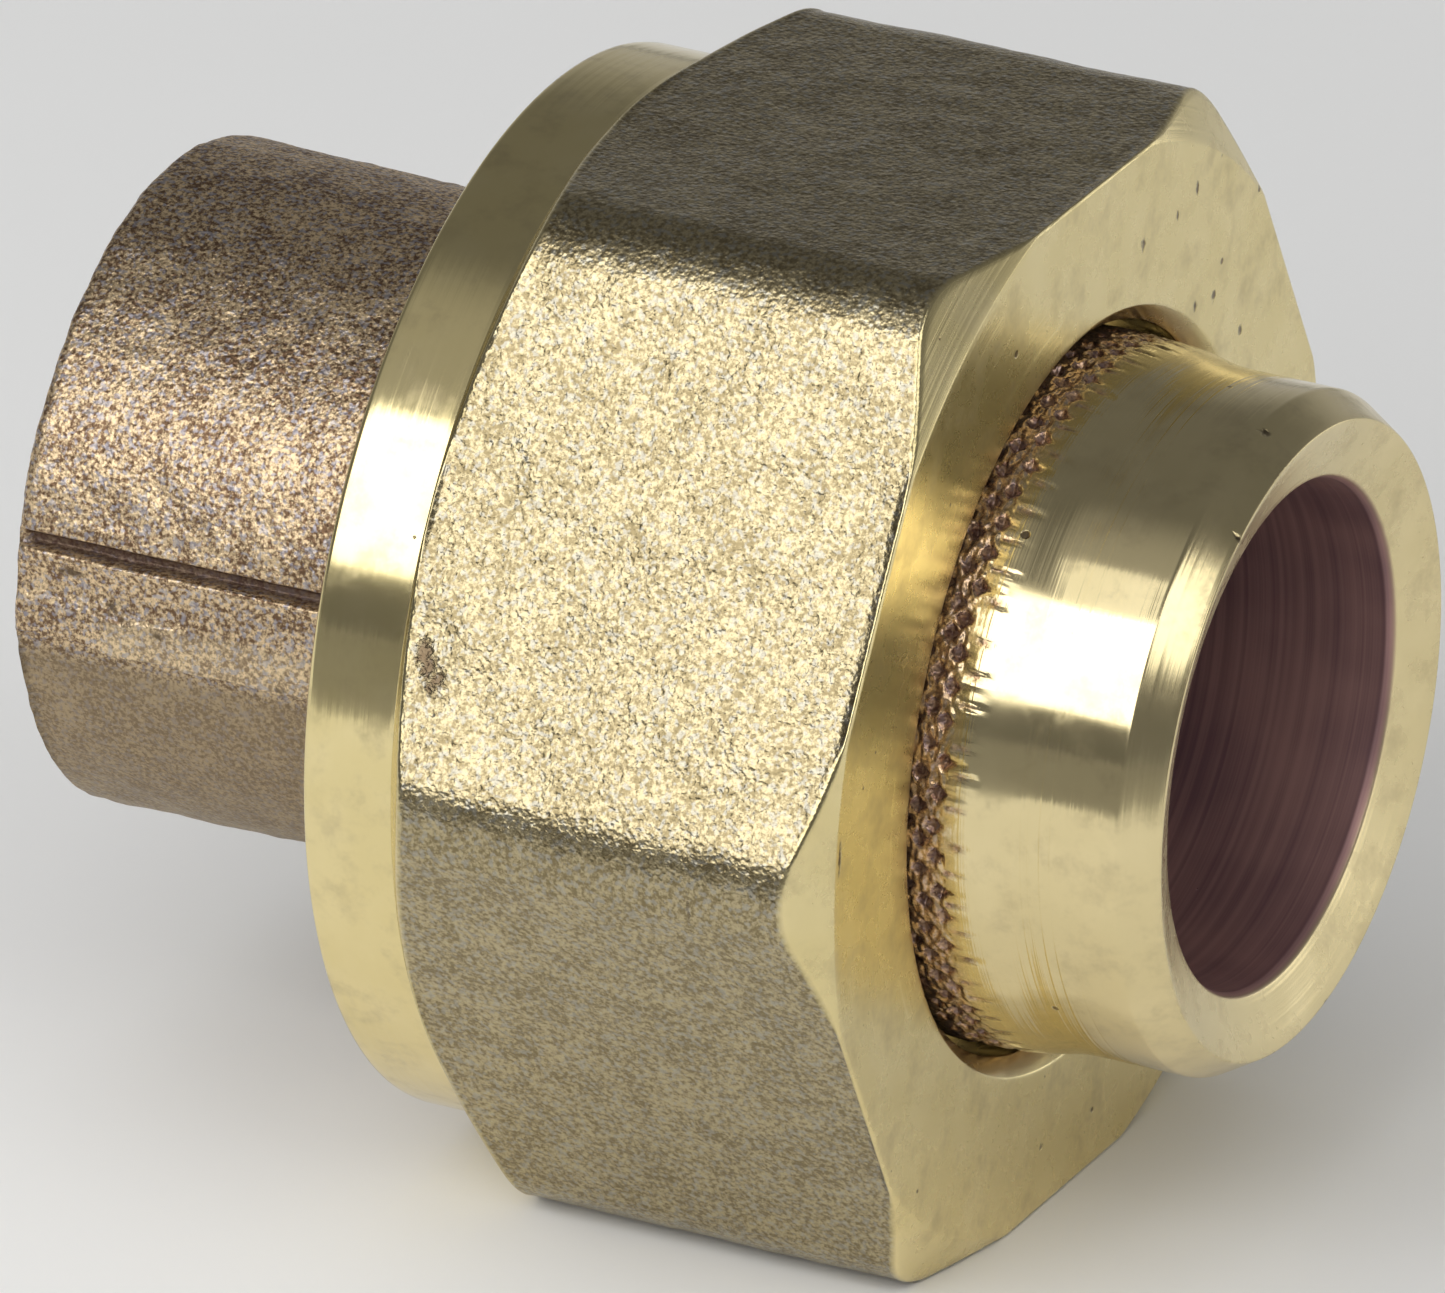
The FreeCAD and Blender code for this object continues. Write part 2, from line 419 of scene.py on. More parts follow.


# %% [markdown]
# ## One metal with two skins
# Each piece carries an attribute called skin in its mesh: 0 where a lathe has cut, 1 where the
# casting, forging or knurling skin is left, and up to 2 in the near parting groove and the knurl
# pits, which are painted dark as shade. One material reads it and shows the right finish, so the
# border between them follows the shape.

# %% Turned and raw metal in one finish
# painted shade: the dark colour laid into the near parting groove and the knurl pits
RECESS_SHADE_COLOUR = (0.085, 0.045, 0.035)
SCAR_COLOUR = (0.13, 0.09, 0.055)
SCAR_DEPTH = 0.03
DIRT_DEPTH = 0.02
LOWER_HALF = (-1.6, -0.4)      # the lower half's evened grains and painted shade fade in between these heights


def mixed_metal(name, turned, raw, polish, dullness, grain_mm, grain_height, scars,
                below=1.0, raw_metallic=1.0):
    """Metal that is turned where skin is 0 and raw where it is 1; below paints shade on the lower half
    by darkening its colour.
    """
    finish = Finish(name)
    place = finish.place()
    skin_and_shade = finish.add("ShaderNodeAttribute", {"attribute_name": "skin"}, output="Fac")
    skin = skin_and_shade.math("MINIMUM", 1.0)
    # skin above 1 marks the groove and the pits, which get painted shade
    recess_shade = skin_and_shade.between(1.0, 2.0)
    blotch = finish.grain(place, 0.45, 3.0)
    turned_colour = finish.blend(blotch.between(0.35, 0.7), turned[0], turned[1])
    patch, dirt, turned_colour = handled(finish, place, turned_colour)
    rough_colour = raw_colour(finish, place, raw, grain_mm)
    # painted shade: the lower half's grains are evened out and its colour darkened by the factor below
    if below < 1:
        lower = 1 - finish.parts(place)[2].between(*LOWER_HALF)
        calm = finish.blend(lower * 0.45, rough_colour, raw[1])
        dark = finish.add("ShaderNodeVectorMath", {"operation": "SCALE"}, {0: calm, "Scale": below})
        rough_colour = finish.blend(lower, rough_colour, dark)
    colour = finish.blend(skin, turned_colour, rough_colour)
    inside, colour = stained_bore(finish, place, colour, socket_r)
    turned_rough = polish + patch * 0.10 + finish.facing() * 0.16 + inside * 0.28
    roughness = (1 - skin) * turned_rough + skin * dullness
    # paints shade into the groove and the knurl pits
    colour = finish.blend(recess_shade * 0.85, colour, RECESS_SHADE_COLOUR)
    height = (turned_rings(finish, place, 1 - inside * 0.7) * (1 - skin)
              + raw_grains(finish, place, grain_mm, grain_height) * skin
              - dirt * (1 - skin) * DIRT_DEPTH)
    scar = scar_mask(finish, place, scars)
    colour = finish.blend(scar * 0.9, colour, SCAR_COLOUR)
    height = height - scar * SCAR_DEPTH
    metallic = 1 - inside * 0.45 - skin * (1 - raw_metallic) - recess_shade * 0.4
    return finish.metal(colour, roughness, finish.bump(height), metallic)


# %% The nut's brass
NUT_SCARS = [
    (on_ring(-2.2, 16.2, 164.2), (0.30, 0.5, 0.42)), (on_ring(-1.95, 16.4, 165.4), (0.26, 0.5, 0.42)),
    (on_ring(-1.65, 16.6, 166.6), (0.34, 0.5, 0.46)), (on_ring(7.3, 18.0, 182.5), (0.07, 0.6, 0.55)),
    (on_ring(11.2, 13.2, 75), (0.3, 0.16, 0.22)), (on_ring(11.2, 14.9, 62), (0.3, 0.10, 0.26)),
    (on_ring(11.2, 14.0, 66), (0.3, 0.08, 0.16)), (on_ring(11.2, 12.5, 48), (0.3, 0.14, 0.22)),
    (on_ring(11.2, 12.7, 36), (0.3, 0.16, 0.16)), (on_ring(11.2, 11.8, 53), (0.3, 0.12, 0.18)),
    (on_ring(11.2, 15.9, 176), (0.3, 0.09, 0.55)), (on_ring(11.2, 13.9, 263), (0.3, 0.12, 0.12)),
    (on_ring(11.2, 14.1, 277), (0.3, 0.12, 0.10))]
nut_metal = mixed_metal(
    "forged_and_turned_brass",
    turned=((0.82, 0.69, 0.35), (0.86, 0.73, 0.39)),
    raw=((0.24, 0.19, 0.10), (0.50, 0.42, 0.25), (0.40, 0.39, 0.34)),
    polish=0.11, dullness=0.27, grain_mm=0.15, grain_height=0.022, scars=NUT_SCARS)
print("nut", nut_metal.name, len(nut_metal.node_tree.nodes), "nodes")

# %% The body's gunmetal
BODY_SCARS = [
    (on_ring(-15.0, 10.3, 176.0), (0.42, 0.6, 0.34)), (on_ring(-14.6, 10.3, 177.6), (0.30, 0.6, 0.16)),
    (on_ring(-13.5, 10.3, 178.5), (0.22, 0.6, 0.15)), (on_ring(-9.6, 10.3, 183.5), (0.22, 0.6, 0.16)),
    (on_ring(-16.4, 10.3, 171.0), (0.5, 0.6, 0.16)), (on_ring(-11.6, 10.3, 184.5), (0.7, 0.6, 0.07))]
# the body gets painted shade on its lower half (below=0.5)
body_metal = mixed_metal(
    "sand_cast_gunmetal",
    turned=((0.80, 0.66, 0.42), (0.84, 0.70, 0.45)),
    raw=((0.20, 0.12, 0.07), (0.88, 0.68, 0.42), (0.47, 0.47, 0.54)),
    polish=0.2, dullness=0.46, grain_mm=0.13, grain_height=0.026, scars=BODY_SCARS, below=0.5)
print("body", body_metal.name, len(body_metal.node_tree.nodes), "nodes")

# %% The tailpiece's gunmetal
TAIL_SCARS = [
    (on_ring(18.2, 9.6, 271), (0.3, 0.14, 0.12)), (on_ring(18.2, 9.7, 277), (0.3, 0.12, 0.16)),
    (on_ring(18.2, 9.5, 284), (0.3, 0.16, 0.12)), (on_ring(17.2, 10.0, 290), (0.2, 0.14, 0.2)),
    (on_ring(17.3, 10.0, 97), (0.22, 0.2, 0.16)), (on_ring(18.2, 9.5, 120), (0.3, 0.1, 0.16))]
tail_metal = mixed_metal(
    "turned_gunmetal",
    turned=((0.79, 0.665, 0.37), (0.84, 0.71, 0.405)),
    raw=((0.15, 0.075, 0.05), (0.62, 0.40, 0.24), (0.36, 0.27, 0.27)),
    polish=0.10, dullness=0.22, grain_mm=0.16, grain_height=0.016, scars=TAIL_SCARS, raw_metallic=0.8)
print("tailpiece", tail_metal.name, len(tail_metal.node_tree.nodes), "nodes")

# %% [markdown]
# ## The screw thread
# Body and nut share one pipe thread with 14 turns to the inch. Its flanks stand at
# 55 degrees to each other and its crests are round, which an arcsine of a cosine draws
# directly: a triangle wave whose tips are softened by a factor just under one.

# %% Thread shape
PITCH = 25.4 / 14
THREAD_MAJOR_R = 26.441 / 2
THREAD_DEPTH = 0.640327 * PITCH
THREAD_MIDDLE_R = THREAD_MAJOR_R - THREAD_DEPTH / 2
THREAD_EASE = 0.10
THREAD_LENGTH = 9.0
TIP_SOFTNESS = 0.96


def thread_wave(x, angles):
    """Radius of the thread surface, on a ridge where the helix of the design has one."""
    phase = (x - (seat_x - THREAD_LENGTH)) / PITCH * 2 * math.pi - (angles + math.pi / 2)
    wave = np.arcsin(TIP_SOFTNESS * np.cos(phase)) / math.asin(TIP_SOFTNESS)
    return THREAD_MIDDLE_R + THREAD_DEPTH / 2 * wave


def male_thread(x, r, angles):
    """Thread on the body, cut no higher than the outline."""
    return np.minimum(r, thread_wave(x, angles) - THREAD_EASE)


def female_thread(x, r, angles):
    """Thread in the nut, cut no shallower than the outline."""
    return np.maximum(r, thread_wave(x, angles) + THREAD_EASE)


male_crest = THREAD_MAJOR_R - THREAD_EASE
male_root = THREAD_MAJOR_R - THREAD_DEPTH - THREAD_EASE
female_crest = THREAD_MAJOR_R - THREAD_DEPTH + THREAD_EASE
female_root = THREAD_MAJOR_R + THREAD_EASE
print("pitch", round(PITCH, 3), "crests", round(male_crest, 2), round(female_crest, 2))

# %% [markdown]
# ## The union nut
# The nut is forged as a rough hexagon. A lathe then turns its front face, the two 30 degree
# chamfers that cut each flat to an arc, and the round band at its thread end. So the
# flats are raw and uneven while all else is bright. The chamfer edges follow the flats'
# own unevenness.

# %% Hexagon radius
NUT_CORNER_R = 2.9
BAND_W = 2.85
BAND_R = 15.75
FACE_R = 16.15
CHAMFER_SLOPE = math.tan(math.radians(30))
THROAT_R = 10.85
COUNTERSINK = 0.55
SHOULDER_X = 8.2
LEAST_CHAMFER = 0.12
SIXTH = math.pi / 3


def hexagon_radius(angles, rounding=NUT_CORNER_R):
    """Distance from the axis to a rounded hexagon with flats facing up and down."""
    from_flat = np.abs((angles + SIXTH) % SIXTH - SIXTH / 2)
    core = (half_flats - rounding) / math.cos(SIXTH / 2)
    meet = math.atan((half_flats - rounding) * math.tan(SIXTH / 2) / half_flats)
    from_corner = SIXTH / 2 - from_flat
    arc_height = np.maximum(rounding ** 2 - (core * np.sin(from_corner)) ** 2, 0)
    arc = core * np.cos(from_corner) + np.sqrt(arc_height)
    return np.where(from_flat < meet, half_flats / np.cos(from_flat), arc)


def hexagon_angles(flat_columns, corner_columns):
    """Angles round the nut, closer together on the rounded corners."""
    meet = math.atan((half_flats - NUT_CORNER_R) * math.tan(SIXTH / 2) / half_flats)
    corner = np.linspace(meet - SIXTH, -meet, corner_columns, endpoint=False)
    flat = np.linspace(-meet, meet, flat_columns, endpoint=False)
    sector = np.concatenate([corner, flat]) + SIXTH / 2
    return np.concatenate([sector + k * SIXTH for k in range(6)])


nut_angles = hexagon_angles(flat_columns=56, corner_columns=22)
flats_r = hexagon_radius(nut_angles)
print("corner to corner", round(2 * flats_r.max(), 2), "columns", len(nut_angles))

# %% Build the nut
rear_x, front_x = nut_low[0], nut_high[0]
band_end = rear_x + BAND_W
face_r = np.minimum(FACE_R, flats_r - LEAST_CHAMFER)
front_edge_x = front_x - (flats_r - face_r) * CHAMFER_SLOPE
rear_edge_x = band_end + (flats_r - BAND_R) * CHAMFER_SLOPE
relief_x = seat_x + 0.3
relief_r = female_root + 0.1
nut_lead = relief_r - female_crest

nut_outline = [
    Corner(front_x, THROAT_R + COUNTERSINK, 0.06, 22),
    Corner(front_x, face_r, 0.05, 7),
    Corner(front_edge_x, flats_r, 0.16, 52, skin=1.0),
    Corner(rear_edge_x, flats_r, 0.16, 5),
    Corner(band_end, BAND_R, 0.03, 12),
    Corner(rear_x, BAND_R, 0.18, 8),
    Corner(rear_x, relief_r, 0.08, 5),
    Corner(rear_x + nut_lead, female_crest, 0.0, 82, shape=female_thread),
    Corner(relief_x, female_crest, 0.0, 3),
    Corner(relief_x + nut_lead, relief_r, 0.05, 2),
    Corner(relief_x + 2.0, relief_r, 0.05, 3),
    Corner(relief_x + 2.0 + nut_lead, female_crest, 0.05, 3),
    Corner(SHOULDER_X, female_crest, 0.05, 3),
    Corner(SHOULDER_X, THROAT_R, 0.08, 5),
    Corner(front_x - COUNTERSINK, THROAT_R, 0.05, 3)]


def forged_relief(points, skin, angles):
    """Uneven flats: a slow swell, shallow dimples and a small ripple."""
    lift = 0.05 * lumps(points, 4.0, 1) + 0.03 * lumps(points, 1.3, 2) + 0.015 * lumps(points, 0.5, 3)
    return (lift - lift.max()) * skin, skin


union_nut = swept_piece("union_nut_forging", nut_outline, nut_angles, forged_relief)
stand_in(union_nut, "union_nut", "union_nut", nut_metal)

# %% [markdown]
# ## The body
# The body is cast in a two-part sand mould. Its halves never meet exactly, so the upper shell
# stands a little proud and a groove and a ledge run along the parting line. A flat, ground
# patch shows where the metal was fed in. The radius of the casting is therefore a function
# of the angle, and the lathe-cut neck and thread follow it.

# %% Casting outline
CASTING_R = 10.18
CASTING_RISE = 0.55
DRAFT = 0.2
NECK_R = 9.43
SOCKET_DEPTH = 11.0
WATERWAY_R = 6.7


def step(value, edge, width):
    """0 below the edge, 1 above it, smooth over the width."""
    t = np.clip((value - edge) / width + 0.5, 0, 1)
    return t * t * (3 - 2 * t)


def raised_circle(angles, radius, rise):
    """Distance from the axis to a circle whose centre is raised above it."""
    return rise * np.sin(angles) + np.sqrt(radius ** 2 - (rise * np.cos(angles)) ** 2)


coarse = np.linspace(25, 155, 130, endpoint=False)
parting = np.linspace(155, 192, 100, endpoint=False)
under = np.linspace(192, 350, 120, endpoint=False)
far_side = np.linspace(350, 385, 60, endpoint=False)
body_angles = np.radians(np.concatenate([coarse, parting, under, far_side]))
rear_r = raised_circle(body_angles, CASTING_R, CASTING_RISE)
front_r = raised_circle(body_angles, CASTING_R - DRAFT, CASTING_RISE - 0.05)
rim_ease = 0.45 - 0.4 * np.sin(body_angles) * (np.sin(body_angles) < 0)
print("casting radius", round(rear_r.min(), 2), "to", round(rear_r.max(), 2))

# %% Parting line, ledge and ground gate
LOWER_INSET = 0.36
GROOVE_LOW, GROOVE_HIGH = 12.3, 14.6
GROOVE_DEPTH = 0.5
LIP = 0.07
DIP_HEIGHT, DIP_SPREAD, DIP_DEPTH = 6.0, 3.0, 0.16
REAR_FACE_X = -18.2
GATE_X = (-15.4, -8.6)
GATE_HEIGHTS = (-4.5, 3.0)
FAR_GROOVE_DEPTH = 0.25


def cast_relief(points, skin, angles):
    """Mould features by height angle in degrees, and the sandy unevenness over them."""
    x, y, z = points[..., 0], points[..., 1], points[..., 2]
    height = np.degrees(np.arctan2(z, np.abs(y)))
    near = y < 0
    wander = lumps(points * np.array([1.0, 0.0, 0.0]), 2.0, 7)
    ledge_low = -3.2 - 0.25 * (x + 18.0) + 1.6 * wander
    lift = -LOWER_INSET * (1 - step(height, ledge_low, 0.9))
    groove = step(height, GROOVE_LOW + 0.4 * wander, 0.8) * (1 - step(height, GROOVE_HIGH, 1.0))
    groove = groove * step(x, -18.1, 0.5)
    lift = lift - np.where(near, GROOVE_DEPTH, FAR_GROOVE_DEPTH) * groove
    dip = np.exp(-((height - DIP_HEIGHT) / DIP_SPREAD) ** 2) * (1 - step(x, -13.0, 5.0)) * near
    lip = np.exp(-((height - GROOVE_LOW + 0.8) / 0.7) ** 2) * near * step(x, -17.8, 0.5)
    lift = lift - DIP_DEPTH * dip + LIP * lip
    gate = (step(x, GATE_X[0], 0.8) * (1 - step(x, GATE_X[1], 0.8)) * near
            * step(height, GATE_HEIGHTS[0], 1.5)
            * (1 - step(height, GATE_HEIGHTS[1] + 2 * wander, 1.5)))
    rough = (0.05 * lumps(points, 3.2, 4) + 0.04 * lumps(points, 1.1, 5)
             + 0.03 * lumps(points, 0.45, 6))
    rough = (rough - rough.max()) * (1 - 0.8 * gate)
    on_side = step(x, REAR_FACE_X, 0.15)
    # the near groove's skin rises past 1, so its finish paints it dark as shade
    skin_and_shade = skin * (1 - 0.22 * gate) + groove * near * skin
    return np.minimum(lift * on_side + rough, 0) * skin, skin_and_shade


# %% Build the body
thread_x = seat_x - THREAD_LENGTH
casting_end = thread_x - 1.0
body_x = body_low[0]
male_lead = male_crest - male_root

body_outline = [
    Corner(seat_x, WATERWAY_R, 0.1, 5),
    Corner(seat_x, male_root, 0.05, 4, shape=male_thread),
    Corner(seat_x - male_lead, male_crest, 0.0, 74, shape=male_thread),
    Corner(thread_x + male_lead, male_crest, 0.0, 4, shape=male_thread),
    Corner(thread_x, male_root, 0.1, 4),
    Corner(thread_x, NECK_R, 0.1, 2),
    Corner(casting_end, NECK_R, 0.1, 2),
    Corner(casting_end, front_r, 0.3, 76, skin=1.0),
    Corner(body_x, rear_r, rim_ease, 10, skin=1.0),
    Corner(body_x, socket_r, 0.12, 6),
    Corner(body_x + SOCKET_DEPTH, socket_r, 0.1, 2),
    Corner(body_x + SOCKET_DEPTH, WATERWAY_R, 0.1, 4)]
body = swept_piece("body_casting", body_outline, body_angles, cast_relief)
stand_in(body, "body", "body", body_metal)

# %% [markdown]
# ## The tailpiece
# The tailpiece is turned all over. Next to the nut a wheel has pressed rows of small
# diamond pits into it. The metal pushed up beside them keeps the nut from slipping off.
# The pits are real dents in the mesh, staggered from row to row, and painted dark inside as shade.

# %% Knurl
TAIL_NECK_R = 10.5
KNURL_W = 1.25
PITS_ROUND = 64
PIT_ROWS = 4
PIT_SPACING = 0.52
PIT_DEPTH = 0.22
LIP_HEIGHT = 0.04
PLACE_ERROR, TURN_ERROR, DEPTH_ERROR = 0.12, 0.10, 0.55
AHEAD_LENGTH, BEHIND_LENGTH = 0.36, 0.28
FIRST_ROW_WIDTH, ROW_WIDTH = 0.20, 0.32
FIRST_ROW_DEPTH = 0.45

knurl_end = front_x + KNURL_W
rng = np.random.default_rng(5)
pit_shift = rng.uniform(-1, 1, (PIT_ROWS, PITS_ROUND, 3))


def knurl_relief(points, skin, angles):
    """Staggered pits struck by a worn wheel, each a little off its place and depth."""
    x = points[..., 0]
    outer = np.hypot(points[..., 1], points[..., 2]) > TAIL_NECK_R - 0.3
    lift, skin_and_pit_shade = np.zeros_like(x), np.zeros_like(x)
    for row in range(PIT_ROWS):
        turn = np.broadcast_to(angles, x.shape) / (2 * math.pi) * PITS_ROUND + 0.5 * (row % 2)
        pit_index = np.floor(turn).astype(int) % PITS_ROUND
        shift = pit_shift[row][pit_index]
        centre = knurl_end - 0.3 - row * PIT_SPACING + PLACE_ERROR * shift[..., 0]
        off_centre = np.abs(turn % 1 - 0.5 + TURN_ERROR * shift[..., 1])
        across = off_centre * 2 * math.pi * TAIL_NECK_R / PITS_ROUND
        along = x - centre
        along = np.where(along > 0, along / AHEAD_LENGTH, -along / BEHIND_LENGTH)
        half_wide = FIRST_ROW_WIDTH if row == 0 else ROW_WIDTH
        pit = np.clip(1 - across / half_wide - along, 0, 1)
        lip = np.clip(1 - across / 0.50 - along * 0.75, 0, 1)
        depth = PIT_DEPTH * (FIRST_ROW_DEPTH if row == 0 else 1.0) * (1 + DEPTH_ERROR * shift[..., 2])
        lift += np.where(outer, LIP_HEIGHT * lip - (depth + LIP_HEIGHT) * pit ** 0.8, 0)
        # each pit's middle rises past skin 1, so the finish paints it dark as shade
        skin_and_pit_shade += np.where(outer, 1.1 * pit ** 0.5, 0)
    zone = step(x, knurl_end - 2.4, 0.3) * (1 - step(x, knurl_end - 0.55, 1.0)) * outer
    lift += 0.07 * zone * lumps(points, 0.16, 8)
    skin_and_pit_shade += 0.85 * zone
    return lift, np.clip(skin_and_pit_shade, 0, 1.7)


# %% Build the tailpiece
SHANK_R = 10.135
END_CHAMFER_W = 1.15
RIDGE_R = 9.45
DISH_DEPTH = 0.65
COLUMNS_PER_PIT = 11

collar_x, end_x = tail_low[0], tail_high[0]
collar_r = tail_high[1]
collar_back = SHOULDER_X - 0.05

tail_outline = [
    Corner(collar_x, WATERWAY_R, 0.1, 3),
    Corner(collar_x, collar_r, 0.3, 2),
    Corner(collar_back, collar_r, 0.3, 2),
    Corner(collar_back, TAIL_NECK_R, 0.1, 3),
    Corner(knurl_end - 2.3, TAIL_NECK_R, 0.0, 46),
    Corner(knurl_end, TAIL_NECK_R - 0.08, 0.5, 3),
    Corner(knurl_end + 1.3, SHANK_R, 0.5, 5),
    Corner(end_x - END_CHAMFER_W, SHANK_R, 0.08, 4),
    Corner(end_x, RIDGE_R, 0.07, 4),
    Corner(end_x - DISH_DEPTH, socket_r + 0.12, 0.06, 2),
    Corner(end_x - DISH_DEPTH - 0.25, socket_r, 0.06, 5),
    Corner(end_x - SOCKET_DEPTH, socket_r, 0.1, 2),
    Corner(end_x - SOCKET_DEPTH, WATERWAY_R, 0.1, 3)]
tail_angles = around(PITS_ROUND * COLUMNS_PER_PIT)
tailpiece = swept_piece("tailpiece_turning", tail_outline, tail_angles, knurl_relief)
stand_in(tailpiece, "tailpiece", "tailpiece", tail_metal)

# %% [markdown]
# ## The gasket
# A flat ring punched from pressed fibre. It is out of sight until the halves part, and then
# its dull red-brown face shows between them.

# %% Build the gasket
def pressed_fibre():
    """Dull red-brown fibre with short strands."""
    finish = Finish("pressed_fibre")
    place = finish.place()
    strands = finish.grain(place, 2.5, 5.0, 0.7)
    flecks = finish.grain(place, 9.0, 2.0)
    colour = finish.blend(strands.between(0.3, 0.7), (0.16, 0.045, 0.03), (0.34, 0.12, 0.075))
    shader = finish.add("ShaderNodeBsdfPrincipled", inputs={
        "Base Color": colour, "Roughness": 0.7 + strands * 0.2,
        "Normal": finish.bump(strands * 0.03 + flecks * 0.01)})
    finish.finish_with(shader)
    return finish.material


gasket_out, gasket_in = gasket_high[1], 7.5
gasket_outline = [
    Corner(gasket_low[0], gasket_in, 0.08, 12),
    Corner(gasket_low[0], gasket_out, 0.12, 4),
    Corner(gasket_high[0], gasket_out, 0.12, 12),
    Corner(gasket_high[0], gasket_in, 0.08, 4)]
gasket = swept_piece("gasket_ring", gasket_outline, around(160))
stand_in(gasket, "gasket", "gasket", pressed_fibre())

# %% [markdown]
# ## The floor
# A plain pale floor stands in for a studio table. Polished metal shows its surroundings, so the
# floor is also what lights the undersides of the nut and the tailpiece.

# %% Floor
def pale_floor():
    finish = Finish("pale_floor")
    place = finish.place()
    tone = finish.blend(finish.grain(place, 0.02, 2.0), (0.86, 0.86, 0.85), (0.90, 0.90, 0.89))
    shader = finish.add("ShaderNodeBsdfPrincipled", inputs={
        "Base Color": tone, "Roughness": 0.75, "Specular IOR Level": 0.1})
    finish.finish_with(shader)
    return finish.material


FLOOR_HALF = 1.5
floor_z = cad_box[0][2]
floor_mesh = bpy.data.meshes.new("floor")
floor_mesh.from_pydata([(sx * FLOOR_HALF, sy * FLOOR_HALF, floor_z)
                        for sx, sy in ((-1, -1), (1, -1), (1, 1), (-1, 1))], [], [(0, 1, 2, 3)])
floor_mesh.materials.append(pale_floor())
floor = bpy.data.objects.new("floor", floor_mesh)
bpy.context.scene.collection.objects.link(floor)
print("floor at z", round(floor_z / MM, 2), "mm")

# %% [markdown]
# ## The lamps
# The light is built for its reflections. A wide softbox in front and above gives the bright
# blocks on the band and the tailpiece. A window and two low cards on the right lighten the
# faces that look that way, and a small card close above puts a fainter patch over the block
# on the tailpiece. The lamp overhead and the two fills are kept out of reflections, so they
# light only what is not bare metal, above all the floor.

# %% Lamps
def softbox(name, centre, facing, width, height, radiance, in_reflections=True):
    """Rectangular lamp turned to face along a direction, its brightness given as seen."""
    lamp = bpy.data.lights.new(name, "AREA")
    lamp.shape = "RECTANGLE"
    lamp.size, lamp.size_y = width, height
    lamp.energy = radiance * math.pi * width * height
    lamp_object = bpy.data.objects.new(name, lamp)
    lamp_object.location = centre
    lamp_object.rotation_euler = Vector(facing).to_track_quat("Z", "Y").to_euler()
    lamp_object.visible_glossy = in_reflections
    lamp_object.visible_camera = False
    bpy.context.scene.collection.objects.link(lamp_object)
    return lamp_object


def lamp_towards(name, direction, distance, width, height, radiance, in_reflections=True):
    """Lamp in a direction from the fitting, facing it."""
    away = Vector(direction).normalized()
    return softbox(name, away * distance, away, width, height, radiance, in_reflections)


KEY_UP = math.radians(35.8)
KEY_DISTANCE = 0.46
key_away = Vector((0.0, -math.cos(KEY_UP), math.sin(KEY_UP)))
key_centre = key_away * KEY_DISTANCE + Vector((-0.12, 0.0, 0.0))
softbox("key_strip", key_centre, key_away, 0.48, 0.277, 2.7)
lamp_towards("right_window", (0.58, -0.40, 0.70), 0.50, 0.26, 0.25, 1.8)
lamp_towards("right_card", (0.95, 0.28, 0.03), 0.22, 0.15, 0.05, 0.95)
lamp_towards("back_card", (0.56, 0.82, 0.03), 0.60, 0.30, 0.09, 1.3)
lamp_towards("tail_card", (-0.139, -0.556, 0.819), 0.065, 0.018, 0.022, 0.75)
lamp_towards("overhead", (-0.15, -0.25, 1.0), 0.60, 1.0, 1.0, 0.5, in_reflections=False)
for name, direction in (("fill_front", (0.5, -1.0, 0.38)), ("fill_left", (-1.0, 0.1, 0.38))):
    lamp_towards(name, direction, 0.60, 0.6, 0.3, 1.2, in_reflections=False)
print("lamps", len(bpy.data.lights))

# %% [markdown]
# ## The room
# The room is dim, so that the turned metal keeps its dark bands between the bright ones. It is a
# little lighter in a patch of the ceiling and along the horizon behind the fitting.

# %% Room
ROOM = 0.15
CEILING_GLOW, CEILING_UP = 0.22, math.radians(62)
HORIZON_GLOW = 0.25
room = bpy.data.worlds.new("dim_room")
room.use_nodes = True
sky = Nodes(room.node_tree, "ShaderNodeOutputWorld")
direction = sky.add("ShaderNodeTexCoord", output="Generated")
glow_at = Vector((-0.39, -0.92 * math.cos(CEILING_UP), 0.92 * math.sin(CEILING_UP)))
nearness = sky.add("ShaderNodeVectorMath", {"operation": "DOT_PRODUCT"},
                   {0: direction, 1: glow_at}, output="Value")
behind, above = sky.parts(direction)[1:]
ceiling_glow = nearness.between(0.88, 0.99) * CEILING_GLOW
horizon_glow = (1 - above.between(0.0, 0.6)) * behind.between(-0.1, 0.5) * HORIZON_GLOW
brightness = ceiling_glow + horizon_glow + ROOM
light = sky.add("ShaderNodeBackground",
                inputs={"Color": (0.99, 0.99, 1.0, 1.0), "Strength": brightness})
sky.finish_with(light)
bpy.context.scene.world = room
print("room", room.name, len(room.node_tree.nodes), "nodes")

# %% [markdown]
# ## A grey card
# A dark card that stands low in front of a shiny thing draws a darker band in it under the main
# highlight. This one shows only in reflections: it casts no shadow.

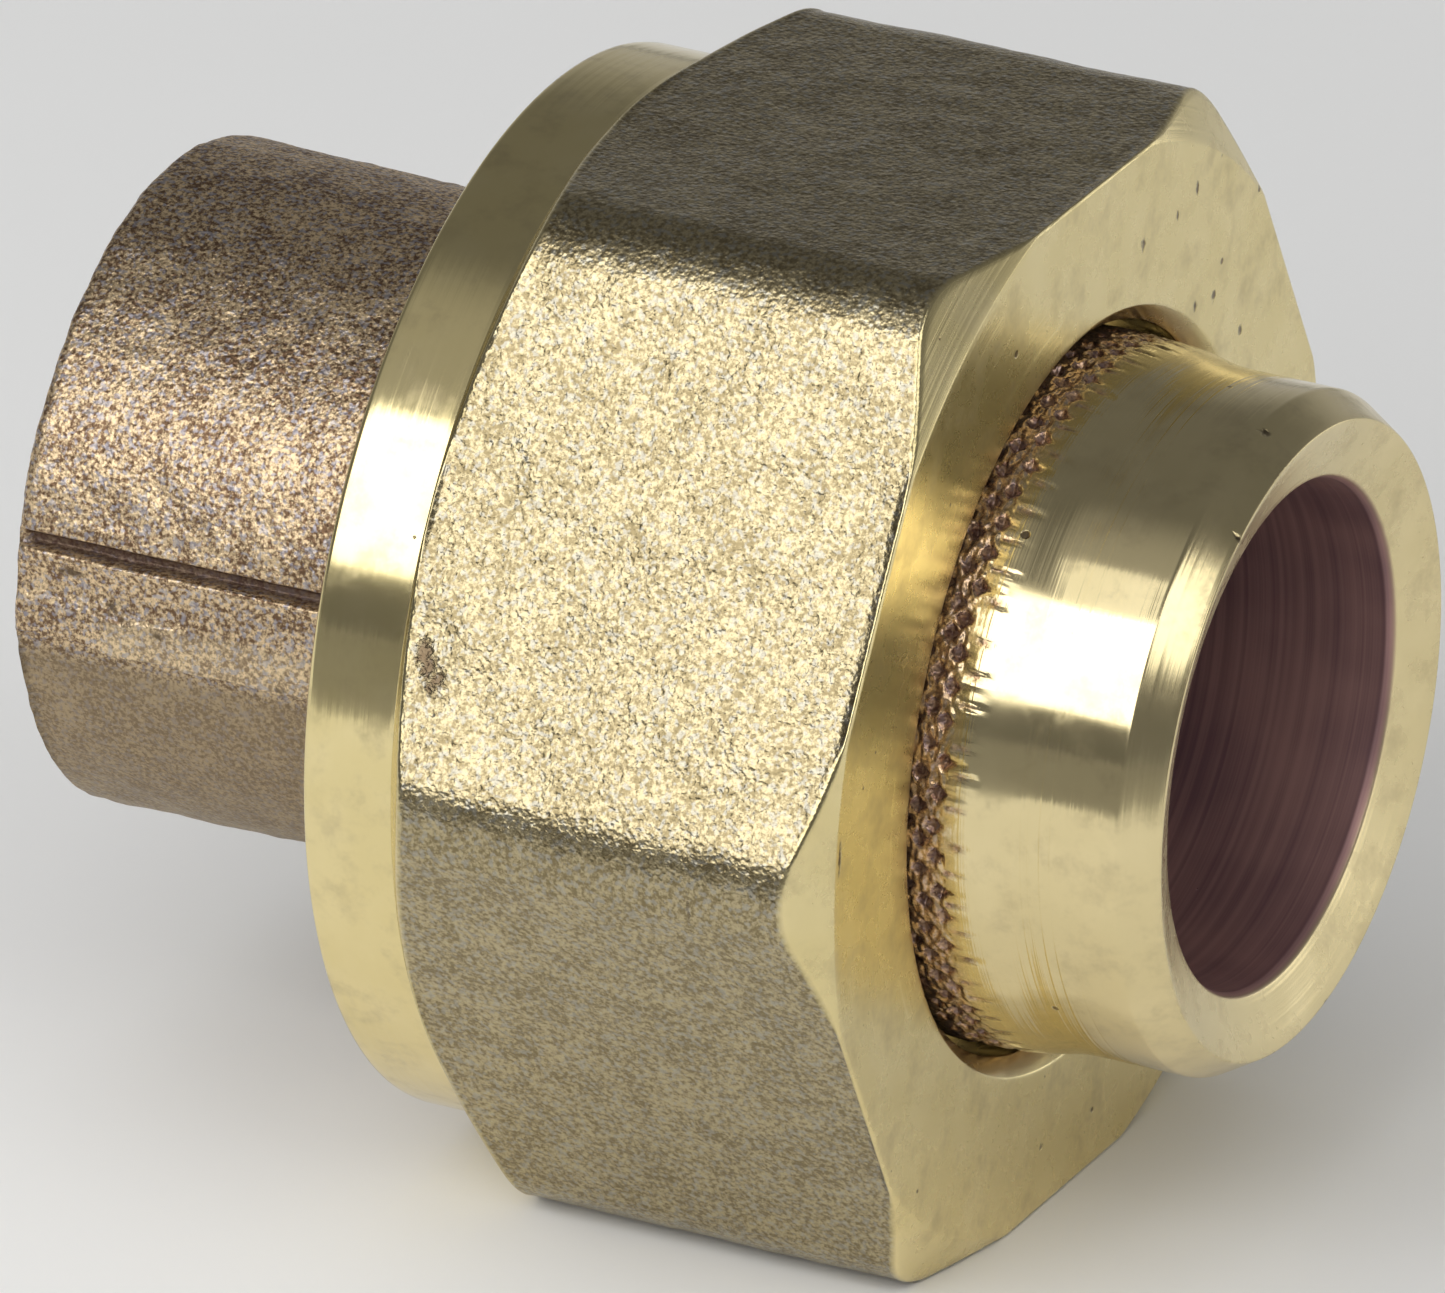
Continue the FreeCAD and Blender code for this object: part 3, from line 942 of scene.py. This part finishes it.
# %% Grey card
def dark_card():
    finish = Finish("dark_card")
    tone = finish.blend(finish.grain(finish.place(), 0.05, 2.0), (0.40, 0.40, 0.40), (0.46, 0.46, 0.46))
    shader = finish.add("ShaderNodeBsdfPrincipled", inputs={"Base Color": tone, "Roughness": 0.9})
    finish.finish_with(shader)
    return finish.material


CARD_Y, CARD_HALF, CARD_TOP = -0.095, 0.30, 0.012
card_mesh = bpy.data.meshes.new("card")
card_mesh.from_pydata([(-CARD_HALF, CARD_Y, floor_z), (CARD_HALF, CARD_Y, floor_z),
                       (CARD_HALF, CARD_Y, CARD_TOP), (-CARD_HALF, CARD_Y, CARD_TOP)],
                      [], [(0, 1, 2, 3)])
card_mesh.materials.append(dark_card())
card = bpy.data.objects.new("card", card_mesh)
card.visible_camera = card.visible_shadow = card.visible_diffuse = False
bpy.context.scene.collection.objects.link(card)
print("card top", round(CARD_TOP / MM, 1), "mm")

# %% [markdown]
# ## The camera
# A long lens from about a metre away keeps the flats of the nut almost parallel. The camera looks
# down on the tailpiece end from the right, tilted a little.

# %% Camera
AZIMUTH, ELEVATION, ROLL = (math.radians(a) for a in (25.55, 24.15, 1.49))
DISTANCE = 0.909
LENS = 782.0
toward = Vector((math.sin(AZIMUTH) * math.cos(ELEVATION),
                 -math.cos(AZIMUTH) * math.cos(ELEVATION), math.sin(ELEVATION)))
level_right = Vector((math.cos(AZIMUTH), math.sin(AZIMUTH), 0.0))
level_up = toward.cross(level_right)
right = level_right * math.cos(ROLL) + level_up * math.sin(ROLL)
up = level_up * math.cos(ROLL) - level_right * math.sin(ROLL)
camera_data = bpy.data.cameras.new("camera")
camera_data.lens = LENS
camera_data.sensor_width = 36.0
camera_data.clip_start, camera_data.clip_end = 0.05, 20.0
camera_data.shift_x, camera_data.shift_y = -0.006, -0.0225
camera = bpy.data.objects.new("camera", camera_data)
camera.matrix_world = Matrix.Translation(toward * DISTANCE) @ Matrix(
    (right, up, toward)).transposed().to_4x4()
bpy.context.scene.collection.objects.link(camera)
bpy.context.scene.camera = camera
bpy.context.scene.view_settings.view_transform = "Standard"
print("camera", round(DISTANCE, 3), "m away, lens", LENS, "mm")
